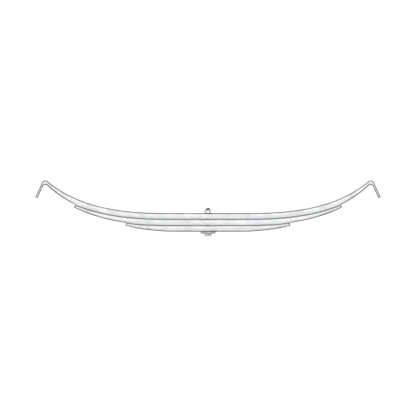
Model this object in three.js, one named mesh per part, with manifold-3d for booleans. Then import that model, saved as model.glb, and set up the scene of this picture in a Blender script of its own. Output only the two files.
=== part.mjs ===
// A three-leaf trailer slipper spring with hooked ends, unloaded, in millimetres.
//
// X runs along the spring, Y across the leaves and Z up. The origin is on the centre bolt's
// axis, in the plane of the third leaf's underside, which sits on the axle's spring seat.
//
// Every leaf is one forging that bends in use. To let it bend here, it is made as a seat
// section and two arms. An arm turns about a knuckle: its half-round end lies in a hollow end
// of the seat section.

import * as THREE from 'three';
import { mergeVertices } from 'three/addons/utils/BufferGeometryUtils.js';
import Module from 'manifold-3d';

const wasm = await Module();
wasm.setup();

// Leaf pack
const leafWidth = 76;
const leafThickness = 20;
const edgeRound = 3;
const gap = 0.3; // between pieces that touch
const flatHalf = 82; // the main leaf's top is flat this far each side of the bolt
const bendRate = 6.44e-6; // past the flat, its curvature grows by this much per mm, in 1/mm2
const sampleStep = 26; // between the points of a curved face, at most
const stationClearance = 1; // a curved face's own ends stay this far from its other points
const fullDeflection = THREE.MathUtils.degToRad(14); // of an arm, from free to flat
const mainHinge = 210; // distance along the main leaf from the bolt to the knuckle

// A leaf keeps its full thickness up to taperStart, then thins to tipThickness at its end.
// Distances are measured along the main leaf's top.
const leaves = [
  { name: 'main_leaf', taperStart: 429, tipThickness: 10.8, end: 547.5 },
  { name: 'second_leaf', taperStart: 221, tipThickness: 8.9, end: 433.5 },
  { name: 'third_leaf', taperStart: 131, tipThickness: 8.5, end: 265 },
];

// Hooks of the main leaf
const hookThickness = 8.2;
const hookAngle = THREE.MathUtils.degToRad(65); // below the horizontal
const crownOuterRadius = 12;
const crownInnerRadius = 9;
const hookLegLength = 52.3;
const hookCorner = 2.5;

// Centre bolt, nut and locating cup
const boltRadius = 7;
const boltHoleRadius = 7.6;
const boltAboveLeaf = 16.5;
const boltTipChamfer = 1.8;
const headAcrossFlats = 23;
const headHeight = 7.4;
const headChamfer = THREE.MathUtils.degToRad(30);
const nutAcrossFlats = 22;
const nutHeight = 11;
const nutChamfer = THREE.MathUtils.degToRad(45);
const endFaceShare = 0.93; // diameter of a hexagon's round end face, over the distance across flats
const cupTopRadius = 26;
const cupBottomRadius = 21.5;
const cupHeight = 6.5;

// Fineness of the round shapes
const roundSides = 32;
const arcSteps = 4;
const edgeSteps = 2;
const mergeDistance = 1e-3;
const overcut = 1; // a cutting tool reaches this far past the face it cuts through

const stackHeight = leaves.length * leafThickness + (leaves.length - 1) * gap;

// Thickness of a leaf at distance s: the square falls evenly, so bending stress stays even.
function thicknessAt(leaf, s) {
  const past = Math.max(0, s - leaf.taperStart) / (leaf.end - leaf.taperStart);
  return Math.sqrt(leafThickness ** 2 - past * (leafThickness ** 2 - leaf.tipThickness ** 2));
}

function slopeAt(s) {
  return (bendRate / 2) * Math.max(0, s - flatHalf) ** 2;
}

// Point of the main leaf's top at distance s, summed in small steps along the curve.
function topPoint(s) {
  const steps = Math.max(1, Math.round(Math.max(0, s - flatHalf)));
  const length = (s - Math.min(s, flatHalf)) / steps;
  const point = new THREE.Vector2(Math.min(s, flatHalf), stackHeight);
  for (let i = 0; i < steps; i += 1) {
    const slope = slopeAt(flatHalf + (i + 0.5) * length);
    point.x += length * Math.cos(slope);
    point.y += length * Math.sin(slope);
  }
  return point;
}

// Point at a depth under the main leaf's top, square to it.
function pointUnder(s, depth) {
  const slope = slopeAt(s);
  return topPoint(s).add(new THREE.Vector2(Math.sin(slope), -Math.cos(slope)).multiplyScalar(depth));
}

// Depth of a leaf's upper and lower face under the main leaf's top at distance s.
function depthsAt(index, s) {
  let upper = 0;
  for (let i = 0; i < index; i += 1) {
    upper += thicknessAt(leaves[i], s) + gap;
  }
  return { upper, lower: upper + thicknessAt(leaves[index], s) };
}

function upperFace(index, s) {
  return pointUnder(s, depthsAt(index, s).upper);
}

function lowerFace(index, s) {
  return pointUnder(s, depthsAt(index, s).lower);
}

// The knuckle of a leaf. A leaf's knuckle stands further out than the one below it by the
// tangent of half the full deflection, so the leaves neither close up nor part as they turn.
function knuckle(index) {
  const rise = leafThickness + gap;
  const s = mainHinge - index * rise * Math.tan(fullDeflection / 2);
  const { upper, lower } = depthsAt(index, s);
  return { s, centre: pointUnder(s, (upper + lower) / 2), radius: (lower - upper) / 2, slope: slopeAt(s) };
}

// The distances at which the curved faces have points. All leaves share them, so that faces that
// lie together have the same facets.
function sharedStations() {
  const breaks = [0, flatHalf, ...leaves.flatMap((leaf) => [leaf.taperStart, leaf.end])];
  breaks.sort((a, b) => a - b);
  const list = [0];
  for (let i = 1; i < breaks.length; i += 1) {
    const length = breaks[i] - breaks[i - 1];
    const count = Math.ceil(length / sampleStep);
    for (let k = 1; k <= count; k += 1) {
      list.push(breaks[i - 1] + (length * k) / count);
    }
  }
  return list;
}

const stations = sharedStations();

function distances(from, to) {
  const between = (s) => s > from + stationClearance && s < to - stationClearance;
  return [from, ...stations.filter(between), to];
}

function addPoints(shape, points) {
  for (const point of points) {
    shape.lineTo(point.x, point.y);
  }
}

// Extrudes a side outline across the leaf's width, with its long edges rounded.
function extrudeAcross(shape) {
  const geometry = new THREE.ExtrudeGeometry(shape, {
    depth: leafWidth - 2 * edgeRound,
    bevelSize: edgeRound,
    bevelThickness: edgeRound,
    bevelOffset: -edgeRound,
    bevelSegments: edgeSteps,
    curveSegments: arcSteps,
    steps: 1,
  });
  geometry.rotateX(Math.PI / 2);
  geometry.translate(0, leafWidth / 2 - edgeRound, 0);
  return geometry;
}

function toManifold(geometry) {
  const bare = geometry.clone();
  bare.deleteAttribute('normal');
  bare.deleteAttribute('uv');
  const merged = mergeVertices(bare, mergeDistance);
  return new wasm.Manifold(
    new wasm.Mesh({
      numProp: 3,
      vertProperties: new Float32Array(merged.attributes.position.array),
      triVerts: new Uint32Array(merged.index.array),
    }),
  );
}

function toGeometry(manifold) {
  const mesh = manifold.getMesh();
  const indexed = new THREE.BufferGeometry();
  indexed.setAttribute('position', new THREE.BufferAttribute(mesh.vertProperties, 3));
  indexed.setIndex(new THREE.BufferAttribute(mesh.triVerts, 1));
  const geometry = indexed.toNonIndexed();
  geometry.computeVertexNormals();
  return geometry;
}

// An upright cylinder between two heights, or a cone frustum if the radii differ.
function uprightCylinder(bottomRadius, topRadius, bottom, top, sides = roundSides) {
  const geometry = new THREE.CylinderGeometry(topRadius, bottomRadius, top - bottom, sides);
  geometry.rotateX(Math.PI / 2);
  geometry.translate(0, 0, (bottom + top) / 2);
  return geometry;
}

// A long cylinder across the leaves, around a knuckle of the +X side or, mirrored, the -X side.
function crossCylinder(centre, radius, side) {
  const geometry = new THREE.CylinderGeometry(radius, radius, 2 * leafWidth, roundSides);
  geometry.translate(side * centre.x, 0, centre.y);
  return geometry;
}

// The middle of a leaf, hollowed at both ends around the knuckles and drilled for the bolt.
function seatSection(index) {
  const { s, centre, radius } = knuckle(index);
  const outward = distances(0, s);
  const inward = outward.slice(1).reverse();
  const mirrored = (point) => new THREE.Vector2(-point.x, point.y);

  const shape = new THREE.Shape();
  const first = lowerFace(index, 0);
  shape.moveTo(first.x, first.y);
  addPoints(shape, outward.slice(1).map((d) => lowerFace(index, d)));
  addPoints(shape, inward.map((d) => upperFace(index, d)));
  addPoints(shape, outward.slice(1).map((d) => mirrored(upperFace(index, d))));
  addPoints(shape, inward.map((d) => mirrored(lowerFace(index, d))));

  let section = toManifold(extrudeAcross(shape));
  for (const side of [1, -1]) {
    section = section.subtract(toManifold(crossCylinder(centre, radius + gap, side)));
  }
  const hole = uprightCylinder(boltHoleRadius, boltHoleRadius, -overcut, stackHeight + overcut);
  return toGeometry(section.subtract(toManifold(hole)));
}

// The point where two lines meet, each given by a point and a slope.
function meeting(pointA, slopeA, pointB, slopeB) {
  const a = new THREE.Vector2(Math.cos(slopeA), Math.sin(slopeA));
  const b = new THREE.Vector2(Math.cos(slopeB), Math.sin(slopeB));
  const along = pointB.clone().sub(pointA).cross(b) / a.cross(b);
  return pointA.clone().addScaledVector(a, along);
}

// Adds the crown and the turned-down hook to the outline of the main leaf's arm, from the
// upper face round to the lower face.
function addHook(shape, index) {
  const end = leaves[index].end;
  const slope = slopeAt(end);
  const outerStart = topPoint(end);
  const outerCentre = pointUnder(end, crownOuterRadius);
  const legDirection = new THREE.Vector2(Math.cos(hookAngle), -Math.sin(hookAngle));
  const legInward = new THREE.Vector2(-Math.sin(hookAngle), -Math.cos(hookAngle));
  const legTop = outerCentre.clone().addScaledVector(legInward, -crownOuterRadius);
  const tip = legTop.clone().addScaledVector(legDirection, hookLegLength);
  const innerTip = tip.clone().addScaledVector(legInward, hookThickness);

  // The inner crown is an arc that touches the leg's inner face and the leaf's lower face.
  const innerStart = end - crownInnerRadius;
  const innerSlope = slopeAt(innerStart);
  const lowerLine = pointUnder(innerStart, depthsAt(index, innerStart).lower + crownInnerRadius);
  const legLine = innerTip.clone().addScaledVector(legInward, crownInnerRadius);
  const innerCentre = meeting(lowerLine, innerSlope, legLine, -hookAngle);

  shape.lineTo(outerStart.x, outerStart.y);
  addCrown(shape, outerCentre, crownOuterRadius, slope, -hookAngle);
  addCorner(shape, tip, legDirection, legInward);
  addCorner(shape, innerTip, legInward, legDirection.clone().negate());
  addCrown(shape, innerCentre, crownInnerRadius, -hookAngle, innerSlope);
}

// An arc over the top of its centre, from where it has one slope to where it has another.
function addCrown(shape, centre, radius, fromSlope, toSlope) {
  const from = Math.PI / 2 + fromSlope;
  const to = Math.PI / 2 + toSlope;
  shape.absarc(centre.x, centre.y, radius, from, to, to < from);
}

// A corner of the outline, cut off between the direction that comes in and the one that goes out.
function addCorner(shape, corner, comingIn, goingOut) {
  const before = corner.clone().addScaledVector(comingIn, -hookCorner);
  const after = corner.clone().addScaledVector(goingOut, hookCorner);
  shape.lineTo(before.x, before.y);
  shape.lineTo(after.x, after.y);
}

// One arm of a leaf, from its knuckle to its tip, on the +X side.
function armGeometry(index) {
  const leaf = leaves[index];
  const { s, centre, radius, slope } = knuckle(index);
  const hooked = index === 0;
  const top = Math.PI / 2 + slope;
  const upper = distances(s, leaf.end);
  const lower = distances(s, hooked ? leaf.end - 2 * crownInnerRadius : leaf.end);

  const shape = new THREE.Shape();
  const first = upperFace(index, s);
  shape.moveTo(first.x, first.y);
  addPoints(shape, upper.slice(1, hooked ? -1 : undefined).map((d) => upperFace(index, d)));
  if (hooked) {
    addHook(shape, index);
  }
  addPoints(shape, lower.reverse().map((d) => lowerFace(index, d)));
  shape.absarc(centre.x, centre.y, radius, top - Math.PI, top - 2 * Math.PI, true);
  return extrudeAcross(shape);
}

// A hexagon whose corners are turned down to a cone at its ends, as on a forged head or nut. A
// chamfer of 0 leaves an end square. One corner points along -Y, and turn swings it from there.
function hexagon(acrossFlats, bottom, top, bottomChamfer, topChamfer, turn) {
  const cornerRadius = acrossFlats / Math.sqrt(3);
  const faceRadius = (endFaceShare * acrossFlats) / 2;
  const outside = cornerRadius + overcut;
  const drop = (chamfer) => (outside - faceRadius) * Math.tan(chamfer);
  const profile = [
    [0, bottom],
    [faceRadius, bottom],
    [outside, bottom + drop(bottomChamfer)],
    [outside, top - drop(topChamfer)],
    [faceRadius, top],
    [0, top],
  ].map(([x, y]) => new THREE.Vector2(x, y));
  const turned = new THREE.LatheGeometry(profile, 2 * roundSides);
  turned.rotateX(Math.PI / 2);
  const prism = uprightCylinder(cornerRadius, cornerRadius, bottom - overcut, top + overcut, 6);
  prism.rotateZ(turn);
  return toManifold(prism).intersect(toManifold(turned));
}

function locatingCup() {
  const outside = uprightCylinder(cupBottomRadius, cupTopRadius, -gap - cupHeight, -gap);
  const bore = uprightCylinder(boltHoleRadius, boltHoleRadius, -cupHeight - overcut, overcut);
  return toGeometry(toManifold(outside).subtract(toManifold(bore)));
}

function centreBolt() {
  const headTop = -cupHeight - 2 * gap;
  const tip = stackHeight + boltAboveLeaf;
  const shoulder = tip - boltTipChamfer;
  const head = hexagon(headAcrossFlats, headTop - headHeight, headTop, headChamfer, 0, 0);
  const shank = uprightCylinder(boltRadius, boltRadius, headTop - headHeight / 2, shoulder);
  const end = uprightCylinder(boltRadius, boltRadius - boltTipChamfer, shoulder, tip);
  return toGeometry(head.add(toManifold(shank)).add(toManifold(end)));
}

function centreBoltNut() {
  const bottom = stackHeight + gap;
  const top = bottom + nutHeight;
  const body = hexagon(nutAcrossFlats, bottom, top, headChamfer, nutChamfer, Math.PI / 2);
  const bore = uprightCylinder(boltRadius + gap, boltRadius + gap, bottom - overcut, top + overcut);
  return toGeometry(body.subtract(toManifold(bore)));
}

const springSteel = { color: 0xcfd1d3, roughness: 0.47, metalness: 0.7 };
const zincPlate = { color: 0xd4d8dc, roughness: 0.35, metalness: 0.75 };

function addPart(group, name, geometry, finish) {
  const mesh = new THREE.Mesh(geometry, new THREE.MeshStandardMaterial(finish));
  mesh.name = name;
  group.add(mesh);
  return mesh;
}

const spring = new THREE.Group();

for (const [index, leaf] of leaves.entries()) {
  addPart(spring, `${leaf.name}_seat`, seatSection(index), springSteel);
  addPart(spring, `${leaf.name}_rear`, armGeometry(index), springSteel);
  const front = addPart(spring, `${leaf.name}_front`, armGeometry(index), springSteel);
  front.rotation.z = Math.PI;
}
addPart(spring, 'locating_cup', locatingCup(), zincPlate);
addPart(spring, 'centre_bolt', centreBolt(), zincPlate);
addPart(spring, 'centre_bolt_nut', centreBoltNut(), zincPlate);

export default spring;
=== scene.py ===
"""A three-leaf trailer slipper spring with hooked ends: the finished look of its pieces.

X runs along the spring, Y across the leaves and Z up, with the origin under the centre bolt, in
the plane of the third leaf's underside. The side outline is worked out in millimetres, as in the
CAD model, and every mesh is made in metres.
"""

import math
from contextlib import contextmanager

import bmesh
import bpy
import numpy as np
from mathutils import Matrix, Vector


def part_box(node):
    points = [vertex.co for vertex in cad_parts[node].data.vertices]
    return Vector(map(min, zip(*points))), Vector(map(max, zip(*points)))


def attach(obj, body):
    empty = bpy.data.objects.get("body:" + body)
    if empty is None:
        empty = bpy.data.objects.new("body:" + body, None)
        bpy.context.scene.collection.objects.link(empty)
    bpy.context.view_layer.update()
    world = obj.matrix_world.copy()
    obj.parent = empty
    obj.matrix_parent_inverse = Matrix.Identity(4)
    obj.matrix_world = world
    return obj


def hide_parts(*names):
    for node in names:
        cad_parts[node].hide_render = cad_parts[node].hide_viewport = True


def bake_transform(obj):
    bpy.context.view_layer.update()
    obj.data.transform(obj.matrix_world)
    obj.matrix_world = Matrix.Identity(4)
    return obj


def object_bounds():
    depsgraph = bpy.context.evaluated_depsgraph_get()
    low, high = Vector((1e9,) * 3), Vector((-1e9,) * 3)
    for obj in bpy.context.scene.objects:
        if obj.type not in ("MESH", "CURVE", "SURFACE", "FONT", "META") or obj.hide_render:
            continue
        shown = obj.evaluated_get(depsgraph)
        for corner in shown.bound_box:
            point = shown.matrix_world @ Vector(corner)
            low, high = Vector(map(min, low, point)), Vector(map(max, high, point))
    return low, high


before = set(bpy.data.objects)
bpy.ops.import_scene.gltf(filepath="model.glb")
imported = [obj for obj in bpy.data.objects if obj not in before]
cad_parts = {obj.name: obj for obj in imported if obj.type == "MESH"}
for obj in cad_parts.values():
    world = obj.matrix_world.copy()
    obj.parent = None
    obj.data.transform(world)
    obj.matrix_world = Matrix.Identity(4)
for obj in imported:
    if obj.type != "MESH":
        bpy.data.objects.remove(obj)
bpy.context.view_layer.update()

MM = 0.001

# Leaf pack, as in the CAD model
LEAF_WIDTH = 76.0
LEAF_THICKNESS = 20.0
GAP = 0.3  # between leaves
FLAT_HALF = 82.0  # the main leaf's top is flat this far each side of the bolt
BEND_RATE = 6.44e-6  # past the flat, its curvature grows by this much per mm
LEAVES = {  # taper_start and end along the main leaf's top, bend_end straight out from the bolt
    "main_leaf": {"taper_start": 429.0, "tip_thickness": 10.8, "end": 547.5, "bend_end": 580.0},
    "second_leaf": {"taper_start": 221.0, "tip_thickness": 8.9, "end": 433.5, "bend_end": 575.0},
    "third_leaf": {"taper_start": 131.0, "tip_thickness": 8.5, "end": 265.0, "bend_end": 578.0},
}
STACK_HEIGHT = len(LEAVES) * LEAF_THICKNESS + (len(LEAVES) - 1) * GAP
ENDS = {"rear": 1, "front": -1}  # which way along X each end lies

# Hooks of the main leaf
HOOK_THICKNESS = 8.2
HOOK_ANGLE = math.radians(65)  # below the horizontal
CROWN_OUTER_RADIUS = 12.0
CROWN_INNER_RADIUS = 9.0
HOOK_LEG_LENGTH = 52.3

# Rolled and sheared edges
EDGE_RADIUS = 3.0
EDGE_SHARE = 0.42  # of half a thin leaf's thickness, at most
EDGE_MARGIN = 0.3  # height left between the radius and the middle of a leaf's side
SIDE_BOW = 0.45  # a rolled bar's sides stand out this much at the middle
PLAN_CORNER = 3.0  # radius of a leaf end's corners seen from above
LEAF_END_ROUND = 1.1  # radius of a leaf end's upper and lower edges
HOOK_END_ROUND = 2.2

# How closely the leaves are divided
TABLE_STEP = 0.25
TABLE_END = 600.0  # the table of the main leaf's top runs on past its end
RING_STEP = 4.0
CORNER_STEPS = 7
CROWN_STEPS = 25
LEG_STEPS = 13
LEAN_LENGTH = 70.0  # the main leaf's rings lean over more and more, this far before its crown

# Centre bolt
BOLT_RADIUS = 7.0
BOLT_HOLE_RADIUS = 7.6
BOLT_TIP_CHAMFER = 1.8
TIP_MARK = ((2.4, 0.05), (1.6, 0.5))  # radius and depth of the centre mark in the bolt's end
THREAD_PITCH = 2.0
THREAD_DEPTH = 1.23
THREAD_START = 2.0  # above the nut's foot
THREAD_STEPS = 16  # rings in one turn
CREST_SHARE = 0.07  # half the thread's flat crest, over its pitch
ROOT_SHARE = 0.1
HEAD_FLATS = 23.0
HEAD_CORNER = math.pi / 2  # direction of one of the head's corners, from +X
HEAD_DISH = ((3.0, 0.35), (6.2, 0.3), (7.4, 0.02))  # radius and depth, in the head's lower face
HEAD_FILLET = ((0.5, 0.0), (0.12, 0.15), (0.0, 0.6))  # out from the shank, up from the head
WASHER_FACE = 0.4  # height of the round face on top of the head

# Nut
NUT_FLATS = 22.0
NUT_CORNER = 0.0
NUT_BORE_RADIUS = BOLT_RADIUS + 0.15
NUT_FOOT_SINK = (0.7, 1.2)  # width and depth of a countersink
NUT_TOP_SINK = (0.9, 1.0)

# Both hexagons
END_FACE_SHARE = 0.93  # diameter of the round end face, over the distance across flats
FOOT_CHAMFER = math.tan(math.radians(30))  # slope of the turned-down lower end
TOP_CHAMFER = math.tan(math.radians(45))
HEX_BEVEL = 0.3

# Cup
CUP_TAPER = 4.5  # its radius is this much smaller at the bottom
CUP_LIP = 0.6  # height of the nearly straight rim at its top
CUP_LIP_DRAFT = 0.05
CUP_TOP_SINK = 0.6
CUP_FOOT_SINK = 0.8
CUP_WALL_RING = 0.22  # an extra ring at this share of the way up its wall
CUP_BEVEL = 0.6
TOOL_RING_SPACING = 0.7  # between the rings that the cutting tool left

# All turned and hexagonal pieces
SEAT_GAP = 0.05  # between their faces and what they lie on
AROUND = 6 * 16  # points round them
ANGLES = np.linspace(0, 2 * np.pi, AROUND, endpoint=False)
SHADE_ANGLE = math.radians(32)  # edges sharper than this aren't smoothed
BEVEL_ANGLE = math.radians(20)  # edges sharper than this are rounded

# Painted shade on rounded edges, corners, rims and thread; grease and painted shade where leaves touch
EDGE_SHADE_DOWN_SIDE = 2.8  # how far it reaches down a leaf's side, from the upper or lower face
EDGE_SHADE_SHARE = 0.33  # of a leaf's thickness, at most
EDGE_SHADE_ON_FACE = 3.2  # and in from the side, on the upper or lower face
EDGE_SHADE_AT_TIP = 1.3  # round the edges of a leaf's end face
EDGE_SHADE_SOFT = 0.7  # width over which it fades
GREASE_AND_SHADE_UP = 1.6  # reach of grease and painted shade above and below where two leaves touch
GREASE_AND_SHADE_DOWN = 2.8
GREASE_AND_SHADE_PAST_END = 2.0  # and past the end of the shorter leaf
LEAF_PATTERN_SHIFT = 200.0  # between the leaves' patterns, so that no two look the same
EDGE_SHADE_AT_CORNER = 1.3  # each side of a hexagon's corner
EDGE_SHADE_ON_WALL = 0.4  # reach from a hexagon's turned-down end onto its walls
EDGE_SHADE_FADE = 0.9  # distance from that end where it has faded away
CREST_DARKNESS = 0.76  # painted shade of the thread's crests, where its roots have 1

# Colours, as linear red, green, blue and alpha
PALE_STEEL = (0.90, 0.905, 0.91, 1)
GREY_STEEL = (0.77, 0.78, 0.79, 1)
STREAK_STEEL = (0.64, 0.66, 0.69, 1)
WARM_STEEL = (0.74, 0.72, 0.69, 1)
SPECKLE_STEEL = (0.55, 0.56, 0.58, 1)
# painted shade on the leaves' edges, and grease with painted shade where they touch
PAINTED_SHADE_AND_GREASE = (0.035, 0.034, 0.033, 1)
PALE_ZINC = (0.88, 0.90, 0.92, 1)
GREY_ZINC = (0.77, 0.79, 0.81, 1)
YELLOW_ZINC = (0.66, 0.645, 0.58, 1)
PALE_TURNED = (0.95, 0.955, 0.96, 1)
GREY_TURNED = (0.84, 0.85, 0.86, 1)
LINE_TURNED = (0.62, 0.62, 0.63, 1)
# painted shade in the thread, on the hexagons' corners and ends, and on the cup's rim
PAINTED_SHADE_DARK = (0.045, 0.044, 0.043, 1)
PALE_FLOOR = (0.9, 0.9, 0.9, 1)

# Studio
FLOOR_HALF = 12000.0
FLOOR_GAP = 0.2  # under the lowest point of the spring
FLOOR_SHADE = 0.71  # brightness of the lit floor, which the world shows below the horizon
SKY = (  # sine of the height above the horizon, brightness
    (-0.06, FLOOR_SHADE),
    (-0.02, 1.03),
    (0.13, 1.03),
    (0.25, 0.80),
    (0.50, 0.36),
    (0.78, 0.12),
)
LAMP_SOFTNESS = math.radians(120)
VIEW_SIDE = 1363.23  # height and width of what the camera takes in
VIEW_CENTRE = 17.04  # above the top of the leaf pack
CAMERA_DISTANCE = 2000.0
CAMERA_REACH = 50000.0


# ---------------------------------------------------------------- side outline of the leaves
# Here s is a distance along the main leaf's top, from the bolt.

def slope_at(s):
    """Slope of the main leaf's top, in radians."""
    return BEND_RATE / 2 * np.maximum(0.0, s - FLAT_HALF) ** 2


def curve_table():
    """The main leaf's top as a table of distance, x and z, summed in small steps."""
    s = np.arange(0.0, TABLE_END, TABLE_STEP)
    middle = slope_at(s[:-1] + TABLE_STEP / 2)
    x = np.concatenate([[0.0], np.cumsum(np.cos(middle)) * TABLE_STEP])
    z = np.concatenate([[0.0], np.cumsum(np.sin(middle)) * TABLE_STEP]) + STACK_HEIGHT
    return s, x, z


TABLE_S, TABLE_X, TABLE_Z = curve_table()


def under(s, depth):
    """Points at a depth under the main leaf's top, square to it."""
    s = np.asarray(s, float)
    slope = slope_at(s)
    x = np.interp(s, TABLE_S, TABLE_X) + np.sin(slope) * depth
    z = np.interp(s, TABLE_S, TABLE_Z) - np.cos(slope) * depth
    return np.stack([x, z], axis=-1)


def thickness_at(leaf, s):
    """A leaf keeps its full thickness up to taper_start, and then thins parabolically."""
    past = np.maximum(0.0, s - leaf["taper_start"]) / (leaf["end"] - leaf["taper_start"])
    return np.sqrt(LEAF_THICKNESS**2 - past * (LEAF_THICKNESS**2 - leaf["tip_thickness"] ** 2))


def depths_at(name, s):
    """Depth of a leaf's upper and lower face under the main leaf's top."""
    upper = np.zeros_like(s)
    for other, leaf in LEAVES.items():
        if other == name:
            return upper, upper + thickness_at(leaf, s)
        upper = upper + thickness_at(leaf, s) + GAP
    raise KeyError(name)


def end_offsets(edge_round):
    """Distances of the last rings from a leaf's end, with how far each draws in from the sides
    and from the upper and lower face."""
    steps = np.radians(np.linspace(0, 90, CORNER_STEPS))
    back = PLAN_CORNER * (1 - np.sin(steps))
    sides = PLAN_CORNER * (1 - np.cos(steps))
    inside = np.maximum(0.0, edge_round - back)
    faces = edge_round - np.sqrt(edge_round**2 - inside**2)
    return back, sides, faces


def plain_rings(name):
    """Upper and lower points of a straight-ended leaf's rings, and how far each ring draws in."""
    end = LEAVES[name]["end"]
    back, sides, faces = end_offsets(LEAF_END_ROUND)
    body = np.linspace(0.0, end - PLAN_CORNER, round((end - PLAN_CORNER) / RING_STEP) + 1)
    s = np.concatenate([body[:-1], end - back])
    upper, lower = depths_at(name, s)
    draw_sides = np.concatenate([np.zeros(len(body) - 1), sides])
    draw_faces = np.concatenate([np.zeros(len(body) - 1), faces])
    return under(s, upper), under(s, lower), draw_sides, draw_faces


def meeting(point_a, slope_a, point_b, slope_b):
    """Where two lines cross, and how far that is along the first one."""
    a = np.array([math.cos(slope_a), math.sin(slope_a)])
    b = np.array([math.cos(slope_b), math.sin(slope_b)])
    across = point_b - point_a
    along = (across[0] * b[1] - across[1] * b[0]) / (a[0] * b[1] - a[1] * b[0])
    return point_a + a * along, along


def hooked_rings(name):
    """Upper and lower points of the main leaf's rings, through the crown and down the hook."""
    end = LEAVES[name]["end"]
    slope = float(slope_at(end))
    leg = np.array([math.cos(HOOK_ANGLE), -math.sin(HOOK_ANGLE)])
    inward = np.array([-math.sin(HOOK_ANGLE), -math.cos(HOOK_ANGLE)])
    outer_centre = under(end, CROWN_OUTER_RADIUS)
    leg_top = outer_centre - inward * CROWN_OUTER_RADIUS
    tip = leg_top + leg * HOOK_LEG_LENGTH
    inner_tip = tip + inward * HOOK_THICKNESS

    inner_start = end - CROWN_INNER_RADIUS
    inner_slope = float(slope_at(inner_start))
    depth = depths_at(name, np.array([inner_start]))[1][0]
    inner_centre, past = meeting(
        under(inner_start, depth + CROWN_INNER_RADIUS),
        inner_slope,
        inner_tip + inward * CROWN_INNER_RADIUS,
        -HOOK_ANGLE,
    )
    inner_start += past

    # The rings lean over gradually before the crown, because its inner bend starts earlier.
    s = np.linspace(0.0, end, round(end / RING_STEP) + 1)
    lean = np.clip((s - (end - LEAN_LENGTH)) / LEAN_LENGTH, 0, 1)
    s_lower = s - (end - inner_start) * lean * lean * (3 - 2 * lean)
    upper = [under(s, depths_at(name, s)[0])]
    lower = [under(s_lower, depths_at(name, s_lower)[1])]

    turn = np.radians(90) + np.linspace(slope, -HOOK_ANGLE, CROWN_STEPS)[1:]
    round_the_bend = np.stack([np.cos(turn), np.sin(turn)], axis=-1)
    upper.append(outer_centre + CROWN_OUTER_RADIUS * round_the_bend)
    lower.append(inner_centre + CROWN_INNER_RADIUS * round_the_bend)

    back, sides, faces = end_offsets(HOOK_END_ROUND)
    inner_top = lower[-1][-1]
    inner_length = float(np.linalg.norm(inner_tip - inner_top))
    share = np.linspace(0, 1, LEG_STEPS)[1:-1]
    outer_run = np.concatenate([share * (HOOK_LEG_LENGTH - PLAN_CORNER), HOOK_LEG_LENGTH - back])
    inner_run = np.concatenate([share * (inner_length - PLAN_CORNER), inner_length - back])
    upper.append(leg_top + outer_run[:, None] * leg)
    lower.append(inner_top + inner_run[:, None] * leg)

    upper = np.concatenate(upper)
    lower = np.concatenate(lower)
    plain = np.zeros(len(upper) - len(back))
    return upper, lower, np.concatenate([plain, sides]), np.concatenate([plain, faces])


# ---------------------------------------------------------------- cross-section and meshes

def bar_section(half_width, half_height, edge):
    """Loop of (across, up) points round a rolled flat bar, with rounded edges and bowed sides."""
    arc = np.radians(np.linspace(0, 90, CORNER_STEPS))
    centre_across = half_width - SIDE_BOW - edge
    centre_up = half_height - edge
    bowed_side = [(half_width, 0.0), (half_width - SIDE_BOW * 0.3, centre_up * 0.55)]
    corner = np.stack([centre_across + edge * np.cos(arc), centre_up + edge * np.sin(arc)], axis=-1)
    face = [(across, half_height) for across in (centre_across - 2.0, centre_across * 0.6, 0.0)]
    quarter = np.concatenate([bowed_side, corner, face])
    left = quarter[-2::-1] * [-1, 1]
    below_left = quarter[1:] * [-1, -1]
    below_right = quarter[-2:0:-1] * [1, -1]
    return np.concatenate([quarter, left, below_left, below_right])


def tube_faces(rings, per_ring, closed=False):
    """Quads between consecutive rings of vertices."""
    faces = []
    for r in range(rings if closed else rings - 1):
        here, there = r * per_ring, (r + 1) % rings * per_ring
        for i in range(per_ring):
            j = (i + 1) % per_ring
            faces.append((here + i, here + j, there + j, there + i))
    return faces


@contextmanager
def editing(mesh):
    """Opens a mesh for bmesh operators, and writes it back at the end."""
    bm = bmesh.new()
    bm.from_mesh(mesh)
    yield bm
    bm.to_mesh(mesh)
    bm.free()


def new_object(name, vertices, faces):
    """A mesh object in metres, from vertices in millimetres, with its faces turned outward."""
    mesh = bpy.data.meshes.new(name)
    mesh.from_pydata((np.asarray(vertices) * MM).tolist(), [], faces)
    with editing(mesh) as bm:
        bmesh.ops.recalc_face_normals(bm, faces=bm.faces)
    obj = bpy.data.objects.new(name, mesh)
    bpy.context.scene.collection.objects.link(obj)
    return obj


def finish_shading(obj):
    """Shades the mesh smooth, apart from its sharp edges."""
    mesh = obj.data
    mesh.polygons.foreach_set("use_smooth", [True] * len(mesh.polygons))
    mesh.set_sharp_from_angle(angle=SHADE_ANGLE)
    mesh.update()


def apply_modifiers(obj):
    """Swaps the object's mesh for the one that its modifiers make."""
    depsgraph = bpy.context.evaluated_depsgraph_get()
    mesh = bpy.data.meshes.new_from_object(obj.evaluated_get(depsgraph))
    old = obj.data
    obj.modifiers.clear()
    obj.data = mesh
    bpy.data.meshes.remove(old)


def drill(obj, radius, bottom, top, sides=64):
    """Cuts an upright round hole through obj, about the Z axis, and drops faces of no area."""
    angles = np.linspace(0, 2 * np.pi, sides, endpoint=False)
    loop = np.stack([radius * np.cos(angles), radius * np.sin(angles)], axis=-1)
    vertices = [(x, y, z) for z in (bottom, top) for x, y in loop]
    faces = tube_faces(2, sides)
    faces.append(tuple(range(sides)))
    faces.append(tuple(range(sides, 2 * sides)))
    cutter = new_object("cutter", vertices, faces)
    cut = obj.modifiers.new("bolt hole", "BOOLEAN")
    cut.operation = "DIFFERENCE"
    cut.solver = "EXACT"
    cut.object = cutter
    apply_modifiers(obj)
    bpy.data.objects.remove(cutter)
    with editing(obj.data) as bm:
        bmesh.ops.dissolve_degenerate(bm, dist=0.001 * MM, edges=bm.edges)


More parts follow.
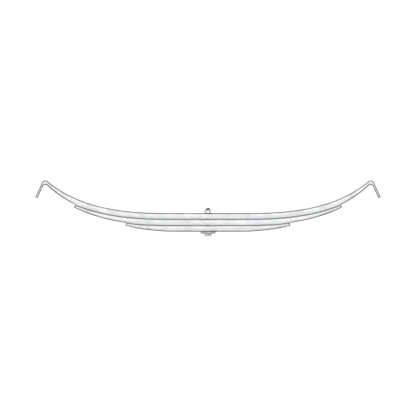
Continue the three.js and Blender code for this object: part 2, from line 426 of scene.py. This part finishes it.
def store(mesh, name, kind, values):
    """Keeps one value for each vertex as a named attribute, which the materials read."""
    attribute = mesh.attributes.new(name, kind, "POINT")
    attribute.data.foreach_set("vector" if kind == "FLOAT_VECTOR" else "value", values.ravel())


def coordinates(mesh):
    """The mesh's vertices in millimetres, as an array of x, y and z."""
    values = np.zeros(len(mesh.vertices) * 3)
    mesh.vertices.foreach_get("co", values)
    return values.reshape(-1, 3) / MM


def within(distance, reach):
    """1 nearer than reach, falling softly to 0 beyond it."""
    return np.clip((reach - distance) / EDGE_SHADE_SOFT + 0.5, 0, 1)


def distance_to(points, line):
    """Distance of each point from a line of joined points, in the side view."""
    run = np.diff(line, axis=0)
    offset = points[:, None] - line[:-1]
    share = np.clip((offset * run).sum(-1) / (run**2).sum(-1), 0, 1)
    return np.linalg.norm(offset - share[..., None] * run, axis=-1).min(axis=1)


def mark_leaf(obj, name, side, upper, lower):
    """Stores where each vertex is along, across and through the leaf, the painted shade on its edges,
    and how near it is to where the leaf touches its neighbours, for grease and painted shade there."""
    points = coordinates(obj.data)
    in_side_view = np.stack([np.abs(points[:, 0]), points[:, 2]], axis=-1)
    centre = (upper + lower) / 2
    lengths = np.concatenate([[0], np.cumsum(np.linalg.norm(np.diff(centre, axis=0), axis=1))])
    tangent = np.gradient(centre, axis=0)
    tangent /= np.linalg.norm(tangent, axis=1)[:, None]
    nearest = np.argmin(((in_side_view[:, None] - centre[None]) ** 2).sum(-1), axis=1)
    past_nearest = ((in_side_view - centre[nearest]) * tangent[nearest]).sum(1)
    along = lengths[nearest] + past_nearest

    to_upper = distance_to(in_side_view, upper)
    to_lower = distance_to(in_side_view, lower)
    to_face = np.minimum(to_upper, to_lower)
    to_side = LEAF_WIDTH / 2 - np.abs(points[:, 1])
    to_end = np.maximum(0.0, lengths[-1] - along)
    above_middle = (to_lower - to_upper) / 2

    # Painted shade: dark bands along the rounded long edges, round the end's corners and its edges.
    near_side = within(to_side, EDGE_SHADE_ON_FACE)
    reach = np.minimum(EDGE_SHADE_DOWN_SIDE, EDGE_SHADE_SHARE * (to_upper + to_lower))
    on_long_edges = near_side * within(to_face, reach)
    on_end_corners = near_side * within(to_end, reach)
    on_end_edges = within(to_end, EDGE_SHADE_AT_TIP) * within(to_face, EDGE_SHADE_AT_TIP)
    scale = np.maximum.reduce([on_long_edges, on_end_corners, on_end_edges])

    # Grease with painted shade along the lines where the leaf touches its neighbours, in place of the
    # edge bands there.
    order = list(LEAVES)
    index = order.index(name)
    touching = (above_middle > 0) & (index > 0)
    if index + 1 < len(order):
        neighbour_end = LEAVES[order[index + 1]]["end"] + GREASE_AND_SHADE_PAST_END
        touching |= (above_middle < 0) & (along < neighbour_end)
    grease_and_shade_reach = np.where(above_middle > 0, GREASE_AND_SHADE_DOWN, GREASE_AND_SHADE_UP)
    contact = np.where(touching, np.clip(1 - to_face / grease_and_shade_reach, 0, 1), 0.0)
    scale = np.where(touching, on_end_corners, scale)

    across = points[:, 1] + LEAF_PATTERN_SHIFT * index
    place = np.stack([side * along, across, above_middle], axis=-1) * MM
    store(obj.data, "leaf_place", "FLOAT_VECTOR", place.astype(np.float32))
    store(obj.data, "painted_edge_shade", "FLOAT", scale.astype(np.float32))
    store(obj.data, "contact", "FLOAT", contact.astype(np.float32))


def leaf_half(name, end_name):
    """Half of a leaf, from the bolt to one end."""
    side = ENDS[end_name]
    rings = hooked_rings(name) if name == "main_leaf" else plain_rings(name)
    vertices = []
    for high, low, draw_sides, draw_faces in zip(*rings):
        half_height = float(np.linalg.norm(high - low)) / 2 - draw_faces
        edge = min(EDGE_RADIUS, EDGE_SHARE * half_height, half_height - EDGE_MARGIN)
        middle = (high + low) / 2
        up = (high - low) / np.linalg.norm(high - low)
        for across, rise in bar_section(LEAF_WIDTH / 2 - draw_sides, half_height, edge):
            point = middle + up * rise
            vertices.append((side * point[0], across, point[1]))
    count = len(rings[0])
    per_ring = len(vertices) // count
    faces = tube_faces(count, per_ring)
    faces.append(tuple(range(per_ring)))
    faces.append(tuple(range((count - 1) * per_ring, count * per_ring)))
    obj = new_object(f"{name}_{end_name}_half", vertices, faces)
    drill(obj, BOLT_HOLE_RADIUS, -10.0, STACK_HEIGHT + 10.0)
    mark_leaf(obj, name, side, rings[0], rings[1])
    finish_shading(obj)
    return obj


# ---------------------------------------------------------------- turned and hexagonal parts

def hex_radius(flats, corner_at):
    """Radius of a hexagon at each of ANGLES, with a corner at corner_at."""
    from_corner = (ANGLES - corner_at) % (math.pi / 3)
    return flats / 2 / np.cos(from_corner - math.pi / 6)


def chamfer_heights(radius, face_radius, end, slope):
    """Height of a cone that starts at a hexagon's round end face, at each radius."""
    return end + np.maximum(0.0, radius - face_radius) * slope


def turned_object(name, rings, closed=False):
    """A body from rings of (radius, height), each a number or one value for each angle. It is
    closed over at both ends, or where closed is true, its last ring is joined to its first."""
    vertices = []
    for radius, height in rings:
        ring = np.zeros((AROUND, 3))
        ring[:, 0] = radius * np.cos(ANGLES)
        ring[:, 1] = radius * np.sin(ANGLES)
        ring[:, 2] = height
        vertices.extend(ring.tolist())
    faces = tube_faces(len(rings), AROUND, closed)
    if not closed:
        for r in (0, len(rings) - 1):
            centre = len(vertices)
            vertices.append((0.0, 0.0, float(np.mean(rings[r][1]))))
            start = r * AROUND
            faces += [(start + i, start + (i + 1) % AROUND, centre) for i in range(AROUND)]
    return new_object(name, vertices, faces)


def bevel_edges(obj, width, segments, low, high):
    """Rounds the sharp edges of obj whose height lies between low and high."""
    with editing(obj.data) as bm:
        edges = []
        for edge in bm.edges:
            heights = [v.co.z / MM for v in edge.verts]
            inside = low <= min(heights) and max(heights) <= high
            if inside and len(edge.link_faces) == 2 and edge.calc_face_angle() > BEVEL_ANGLE:
                edges.append(edge)
        bmesh.ops.bevel(
            bm,
            geom=edges,
            offset=width * MM,
            segments=segments,
            profile=0.5,
            affect="EDGES",
            clamp_overlap=True,
        )


def mark_corners(obj, flats, corner_at, low, high, on_corners, at_foot, at_top):
    """Stores the painted shade on a hexagon's corners and on its turned-down lower and upper end,
    between the heights low and high, each with its own strength."""
    points = coordinates(obj.data)
    radii = np.hypot(points[:, 0], points[:, 1])
    face = END_FACE_SHARE * flats / 2
    from_corner = (np.arctan2(points[:, 1], points[:, 0]) - corner_at) % (math.pi / 3)
    from_corner = np.minimum(from_corner, math.pi / 3 - from_corner)
    corners = on_corners * within(from_corner * radii, EDGE_SHADE_AT_CORNER) * within(face - radii, 0.0)
    past_face = radii > face - 0.05
    wall_foot = chamfer_heights(radii, face, low, FOOT_CHAMFER)
    wall_top = chamfer_heights(radii, face, high, -TOP_CHAMFER)
    foot = at_foot * (past_face & (points[:, 2] < wall_foot + EDGE_SHADE_ON_WALL))
    top = at_top * (past_face & (points[:, 2] > wall_top - EDGE_SHADE_ON_WALL))
    scale = np.maximum.reduce([corners, foot, top])
    scale *= (points[:, 2] > low - 0.1) & (points[:, 2] < high + 0.1)
    store(obj.data, "painted_edge_shade", "FLOAT", scale.astype(np.float32))


def thread_radius(height, tip):
    """Radius of the bolt's thread at one height, for each of ANGLES."""
    phase = (height / THREAD_PITCH - ANGLES / (2 * np.pi)) % 1.0
    from_crest = np.minimum(phase, 1 - phase)
    groove = np.clip((from_crest - CREST_SHARE) / (0.5 - CREST_SHARE - ROOT_SHARE), 0, 1)
    radius = BOLT_RADIUS - THREAD_DEPTH * groove
    return np.minimum(radius, BOLT_RADIUS - BOLT_TIP_CHAMFER + (tip - height))


def mark_thread(obj):
    """Stores the painted shade on the thread, with its roots the darkest."""
    points = coordinates(obj.data)
    radii = np.hypot(points[:, 0], points[:, 1])
    in_thread = (points[:, 2] > STACK_HEIGHT) & (radii > BOLT_RADIUS / 2)
    in_thread &= points[:, 2] < points[:, 2].max() - 0.01
    depth = np.clip((BOLT_RADIUS - radii) / THREAD_DEPTH, 0, 1)
    darkness = np.where(in_thread, CREST_DARKNESS + (1 - CREST_DARKNESS) * depth, 0.0)
    store(obj.data, "thread_painted_shade", "FLOAT", darkness.astype(np.float32))


def centre_bolt():
    low, high = (corner.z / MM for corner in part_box("centre_bolt"))
    head_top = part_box("locating_cup")[0].z / MM - SEAT_GAP
    wall_top = head_top - WASHER_FACE
    flats = hex_radius(HEAD_FLATS, HEAD_CORNER)
    face = END_FACE_SHARE * HEAD_FLATS / 2
    wall_foot = chamfer_heights(flats, face, low, FOOT_CHAMFER)
    rings = [(radius, low + depth) for radius, depth in HEAD_DISH]
    rings += [
        (face, low),
        (flats, wall_foot),
        (flats, wall_foot + EDGE_SHADE_FADE),
        (flats, wall_top),
        (face, wall_top),
        (face, head_top),
    ]
    rings += [(BOLT_RADIUS + out, head_top + up) for out, up in HEAD_FILLET]

    thread_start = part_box("centre_bolt_nut")[0].z / MM + THREAD_START
    rings.append((BOLT_RADIUS, thread_start - THREAD_PITCH))
    step = THREAD_PITCH / THREAD_STEPS
    for height in np.arange(thread_start, high + step / 2, step):
        run_in = min(1.0, (height - thread_start) / THREAD_PITCH)
        radius = thread_radius(height, high) + (1 - run_in) * THREAD_DEPTH
        rings.append((np.minimum(BOLT_RADIUS, radius), min(height, high)))
    rings.append((BOLT_RADIUS - BOLT_TIP_CHAMFER - 0.5, high))
    rings += [(radius, high - depth) for radius, depth in TIP_MARK]

    obj = turned_object("centre_bolt_and_head", rings)
    bevel_edges(obj, HEX_BEVEL, 2, low - 1, wall_top + 0.01)
    # Painted shade on the head's corners and turned-down foot.
    mark_corners(obj, HEAD_FLATS, HEAD_CORNER, low, head_top, on_corners=0.3, at_foot=0.5, at_top=0)
    mark_thread(obj)
    finish_shading(obj)
    return obj


def centre_bolt_nut():
    low = STACK_HEIGHT + SEAT_GAP
    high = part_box("centre_bolt_nut")[1].z / MM
    flats = hex_radius(NUT_FLATS, NUT_CORNER)
    face = END_FACE_SHARE * NUT_FLATS / 2
    wall_foot = chamfer_heights(flats, face, low, FOOT_CHAMFER)
    wall_top = chamfer_heights(flats, face, high, -TOP_CHAMFER)
    foot_width, foot_depth = NUT_FOOT_SINK
    top_width, top_depth = NUT_TOP_SINK
    rings = [
        (NUT_BORE_RADIUS, low + foot_depth),
        (NUT_BORE_RADIUS + foot_width, low),
        (face, low),
        (flats, wall_foot),
        (flats, wall_foot + EDGE_SHADE_FADE),
        (flats, wall_top - EDGE_SHADE_FADE),
        (flats, wall_top),
        (face, high),
        (NUT_BORE_RADIUS + top_width, high),
        (NUT_BORE_RADIUS, high - top_depth),
    ]
    obj = turned_object("centre_bolt_hex_nut", rings, closed=True)
    bevel_edges(obj, HEX_BEVEL, 2, low - 1, high + 1)
    # Painted shade on the nut's corners and turned-down top.
    mark_corners(obj, NUT_FLATS, NUT_CORNER, low, high, on_corners=0.8, at_foot=0, at_top=0.85)
    finish_shading(obj)
    return obj


def locating_cup():
    low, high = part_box("locating_cup")
    wide = max(abs(high.x), abs(low.x)) / MM
    narrow = wide - CUP_TAPER
    bottom = low.z / MM
    top = -SEAT_GAP
    rings = [
        (BOLT_HOLE_RADIUS, top - CUP_TOP_SINK),
        (BOLT_HOLE_RADIUS + CUP_TOP_SINK, top),
        (wide * 0.6, top),
        (wide, top),
        (wide - CUP_LIP_DRAFT, top - CUP_LIP),
        (narrow + CUP_TAPER * CUP_WALL_RING, bottom * (1 - CUP_WALL_RING)),
        (narrow, bottom),
        (narrow - 1.6, bottom),
        (narrow * 0.75, bottom),
        (BOLT_HOLE_RADIUS + CUP_FOOT_SINK, bottom),
        (BOLT_HOLE_RADIUS, bottom + CUP_FOOT_SINK),
    ]
    obj = turned_object("bolt_locating_cup", rings, closed=True)
    bevel_edges(obj, CUP_BEVEL, 3, bottom - 1, bottom + 0.3)
    # Painted shade: a dark band round the cup's lower rim.
    points = coordinates(obj.data)
    on_rim = (np.hypot(points[:, 0], points[:, 1]) > narrow - 1.0) & (points[:, 2] < bottom + 1.2)
    store(obj.data, "painted_edge_shade", "FLOAT", (0.8 * on_rim).astype(np.float32))
    finish_shading(obj)
    return obj


# ---------------------------------------------------------------- materials

class Nodes:
    """A short way to build a material's node tree."""

    def __init__(self, name):
        self.material = bpy.data.materials.new(name)
        self.material.use_nodes = True
        self.tree = self.material.node_tree
        self.shader = self.tree.nodes["Principled BSDF"]

    def add(self, kind, inputs=(), **settings):
        node = self.tree.nodes.new(kind)
        for key, value in settings.items():
            setattr(node, key, value)
        for key, value in dict(inputs).items():
            self.put(node.inputs[key], value)
        return node

    def put(self, socket, value):
        """Links a socket to another node's output, or gives it a plain value."""
        if isinstance(value, bpy.types.NodeSocket):
            self.tree.links.new(value, socket)
        else:
            socket.default_value = value

    def set(self, name, value):
        self.put(self.shader.inputs[name], value)

    def attribute(self, name, output):
        return self.add("ShaderNodeAttribute", attribute_name=name).outputs[output]

    def stretched(self, vector, scale):
        return self.add("ShaderNodeMapping", {"Vector": vector, "Scale": scale}).outputs["Vector"]

    def noise(self, vector, scale, detail=3.0, roughness=0.55):
        inputs = {"Vector": vector, "Scale": scale, "Detail": detail, "Roughness": roughness}
        return self.add("ShaderNodeTexNoise", inputs).outputs["Fac"]

    def cells(self, vector, scale, smoothness=0.6):
        inputs = {"Vector": vector, "Scale": scale, "Smoothness": smoothness}
        return self.add("ShaderNodeTexVoronoi", inputs, feature="SMOOTH_F1").outputs["Distance"]

    def remap(self, value, low, high, to_low=0.0, to_high=1.0):
        inputs = {"Value": value, "From Min": low, "From Max": high, "To Min": to_low, "To Max": to_high}
        return self.add("ShaderNodeMapRange", inputs).outputs["Result"]

    def maths(self, operation, *values, clamp=False):
        node = self.add("ShaderNodeMath", operation=operation, use_clamp=clamp)
        for socket, value in zip(node.inputs, values):
            self.put(socket, value)
        return node.outputs[0]

    def mix(self, share, a, b):
        """Colour a where share is 0, and b where it is 1."""
        node = self.add("ShaderNodeMix", data_type="RGBA")
        # Sockets 0, 6 and 7 are the factor and the two colours, and output 2 is their mix.
        for number, value in ((0, share), (6, a), (7, b)):
            self.put(node.inputs[number], value)
        return node.outputs[2]

    def bump(self, height, strength, distance, below=None):
        inputs = {"Height": height, "Strength": strength, "Distance": distance}
        if below is not None:
            inputs["Normal"] = below
        return self.add("ShaderNodeBump", inputs).outputs["Normal"]


def spring_steel():
    """Pale shot-peened spring steel, with painted shade on its rounded edges, and grease with
    painted shade where the leaves touch.
    """
    nodes = Nodes("peened_spring_steel")
    place = nodes.attribute("leaf_place", "Vector")
    mottle = nodes.noise(place, 22.0, 6.0, 0.6)
    streaks = nodes.noise(nodes.stretched(place, (6.0, 330.0, 330.0)), 1.0, 4.0, 0.6)
    bands = nodes.noise(nodes.stretched(place, (9.0, 40.0, 40.0)), 1.0, 3.0)
    speckle = nodes.noise(place, 900.0, 2.0, 0.6)
    colour = nodes.mix(nodes.remap(mottle, 0.36, 0.66), PALE_STEEL, GREY_STEEL)
    colour = nodes.mix(nodes.remap(streaks, 0.42, 0.62, 0.0, 0.35), colour, STREAK_STEEL)
    colour = nodes.mix(nodes.remap(bands, 0.5, 0.72, 0.0, 0.22), colour, WARM_STEEL)
    colour = nodes.mix(nodes.remap(speckle, 0.56, 0.72, 0.0, 0.3), colour, SPECKLE_STEEL)

    # Painted shade on the rounded edges, and grease with painted shade where leaves touch, darken it.
    patchy = nodes.remap(mottle, 0.3, 0.6, 0.8, 1.0)
    scale = nodes.maths("MULTIPLY", nodes.attribute("painted_edge_shade", "Fac"), patchy)
    grease_and_shade = nodes.maths("POWER", nodes.attribute("contact", "Fac"), 0.6)
    dark = nodes.maths("MAXIMUM", scale, grease_and_shade)
    clean = nodes.maths("SUBTRACT", 1.0, dark, clamp=True)
    steel_roughness = nodes.remap(mottle, 0.3, 0.7, 0.40, 0.54)
    dark_roughness = nodes.maths("MULTIPLY", dark, 0.85)
    nodes.set("Base Color", nodes.mix(nodes.maths("MULTIPLY", dark, 0.97), colour, PAINTED_SHADE_AND_GREASE))
    nodes.set("Metallic", nodes.maths("MULTIPLY", clean, 0.7))
    nodes.set("Specular IOR Level", nodes.maths("MULTIPLY", clean, 0.5))
    nodes.set("Roughness", nodes.maths("MAXIMUM", steel_roughness, dark_roughness))

    dimples = nodes.bump(nodes.cells(place, 620.0), 0.35, 0.00028)
    rolling = nodes.noise(nodes.stretched(place, (5.0, 160.0, 160.0)), 1.0, 3.0)
    rolled = nodes.bump(rolling, 0.3, 0.0006, dimples)
    nodes.set("Normal", nodes.bump(nodes.noise(place, 55.0, 3.0), 0.25, 0.0009, rolled))
    return nodes.material


def zinc_plate():
    """Bright zinc on the bolt and nut: cool and finely spangled, with painted shade down in the
    thread and on the hexagons' corners and ends.
    """
    nodes = Nodes("zinc_plated_steel")
    place = nodes.add("ShaderNodeTexCoord").outputs["Object"]
    cloud = nodes.noise(place, 130.0, 5.0, 0.6)
    fine = nodes.noise(place, 900.0, 3.0)
    colour = nodes.mix(nodes.remap(cloud, 0.36, 0.64), PALE_ZINC, GREY_ZINC)
    colour = nodes.mix(nodes.remap(fine, 0.45, 0.7, 0.0, 0.3), colour, YELLOW_ZINC)

    # Painted shade in the thread, darkest in its roots, and on the hexagons' corners and ends.
    thread = nodes.remap(nodes.attribute("thread_painted_shade", "Fac"), 0.0, 0.8, 0.0, 0.97)
    corner = nodes.maths("MULTIPLY", nodes.attribute("painted_edge_shade", "Fac"), 0.85)
    dark = nodes.maths("MAXIMUM", thread, corner)
    clean = nodes.maths("SUBTRACT", 1.0, dark, clamp=True)
    nodes.set("Base Color", nodes.mix(dark, colour, PAINTED_SHADE_DARK))
    nodes.set("Metallic", nodes.maths("MULTIPLY", clean, 0.75))
    nodes.set("Specular IOR Level", nodes.maths("MULTIPLY", clean, 0.5))
    nodes.set("Roughness", nodes.remap(cloud, 0.3, 0.7, 0.27, 0.42))
    nodes.set("Normal", nodes.bump(nodes.noise(place, 420.0, 4.0), 0.25, 0.0002))
    return nodes.material


def turned_steel():
    """The cup's turned steel, with fine rings left by the cutting tool and painted shade on its lower
    rim.
    """
    nodes = Nodes("turned_cup_steel")
    place = nodes.add("ShaderNodeTexCoord").outputs["Object"]
    parts = nodes.add("ShaderNodeSeparateXYZ", {"Vector": place})
    x, y, z = (parts.outputs[axis] for axis in "XYZ")
    x_squared = nodes.maths("MULTIPLY", x, x)
    y_squared = nodes.maths("MULTIPLY", y, y)
    radius = nodes.maths("SQRT", nodes.maths("ADD", x_squared, y_squared))
    across_rings = nodes.maths("ADD", radius, nodes.maths("MULTIPLY", z, 1.6))
    per_metre = 2 * math.pi / (TOOL_RING_SPACING * MM)
    tool_rings = nodes.maths("SINE", nodes.maths("MULTIPLY", across_rings, per_metre))
    cloud = nodes.noise(place, 90.0, 5.0, 0.6)
    on_rings = nodes.add("ShaderNodeCombineXYZ", {"X": across_rings}).outputs[0]
    lines = nodes.noise(on_rings, 1500.0, 2.0)
    colour = nodes.mix(nodes.remap(cloud, 0.35, 0.65), PALE_TURNED, GREY_TURNED)
    colour = nodes.mix(nodes.remap(lines, 0.4, 0.65, 0.0, 0.3), colour, LINE_TURNED)
    # Painted shade darkens the lower rim.
    nodes.set("Base Color", nodes.mix(nodes.attribute("painted_edge_shade", "Fac"), colour, PAINTED_SHADE_DARK))
    nodes.set("Metallic", 0.12)
    nodes.set("Roughness", nodes.remap(cloud, 0.3, 0.7, 0.3, 0.45))
    nodes.set("Normal", nodes.bump(tool_rings, 0.3, 0.00008))
    return nodes.material


def floor_paint():
    nodes = Nodes("pale_floor")
    nodes.set("Base Color", PALE_FLOOR)
    nodes.set("Roughness", 0.9)
    return nodes.material


# ---------------------------------------------------------------- the pieces


steel = spring_steel()
zinc = zinc_plate()
cup_steel = turned_steel()

for leaf_name in LEAVES:
    for end_name, side in ENDS.items():
        half = leaf_half(leaf_name, end_name)
        half.data.materials.append(steel)
        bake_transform(half)
        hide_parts(f"{leaf_name}_{end_name}", f"{leaf_name}_seat")

for piece, node, finish, slot in (
    (centre_bolt(), "centre_bolt", zinc, "zinc_plated_bolt"),
    (centre_bolt_nut(), "centre_bolt_nut", zinc, "zinc_plated_bolt"),
    (locating_cup(), "locating_cup", cup_steel, "turned_steel_cup"),
):
    piece.data.materials.append(finish)
    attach(piece, "seat")
    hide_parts(node)

# ---------------------------------------------------------------- floor, light and camera

floor_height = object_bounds()[0].z / MM - FLOOR_GAP
floor_corners = [(-1, -1), (1, -1), (1, 1), (-1, 1)]
floor = new_object(
    "floor",
    [(x * FLOOR_HALF, y * FLOOR_HALF, floor_height) for x, y in floor_corners],
    [(0, 1, 2, 3)],
)
floor.data.materials.append(floor_paint())


def studio_world():
    """Light from all round: white at the horizon, darker overhead, and floor-coloured below."""
    world = bpy.data.worlds.new("studio")
    world.use_nodes = True
    tree = world.node_tree
    direction = tree.nodes.new("ShaderNodeTexCoord")
    height = tree.nodes.new("ShaderNodeSeparateXYZ")
    share = tree.nodes.new("ShaderNodeMapRange")
    ramp = tree.nodes.new("ShaderNodeValToRGB")
    share.inputs["From Min"].default_value = -1.0
    tree.links.new(direction.outputs["Generated"], height.inputs["Vector"])
    tree.links.new(height.outputs["Z"], share.inputs["Value"])
    tree.links.new(share.outputs["Result"], ramp.inputs["Fac"])
    tree.links.new(ramp.outputs["Color"], tree.nodes["Background"].inputs["Color"])
    stops = ramp.color_ramp.elements
    while len(stops) < len(SKY):
        stops.new(0.5)
    for stop, (sine, brightness) in zip(stops, SKY):
        stop.position = (sine + 1) / 2
        stop.color = (brightness, brightness, brightness, 1)
    return world


def add_sun(name, direction_from, strength):
    """A broad lamp that shines from a far point towards the origin."""
    data = bpy.data.lights.new(name, "SUN")
    data.energy = strength
    data.angle = LAMP_SOFTNESS
    obj = bpy.data.objects.new(name, data)
    bpy.context.scene.collection.objects.link(obj)
    obj.rotation_euler = Vector(direction_from).to_track_quat("Z", "Y").to_euler()


bpy.context.scene.world = studio_world()
add_sun("key", (-0.6, -0.9, 0.95), 1.0)
add_sun("fill", (0.7, 0.9, 0.95), 0.85)
add_sun("front", (0.0, -1.0, 0.15), 0.85)

camera_data = bpy.data.cameras.new("camera")
camera_data.type = "ORTHO"
camera_data.ortho_scale = VIEW_SIDE * MM
camera_data.clip_end = CAMERA_REACH * MM
camera = bpy.data.objects.new("camera", camera_data)
camera.location = (0.0, -CAMERA_DISTANCE * MM, (STACK_HEIGHT + VIEW_CENTRE) * MM)
camera.rotation_euler = (math.radians(90), 0, 0)
bpy.context.scene.collection.objects.link(camera)
bpy.context.scene.camera = camera
bpy.context.scene.view_settings.view_transform = "Standard"
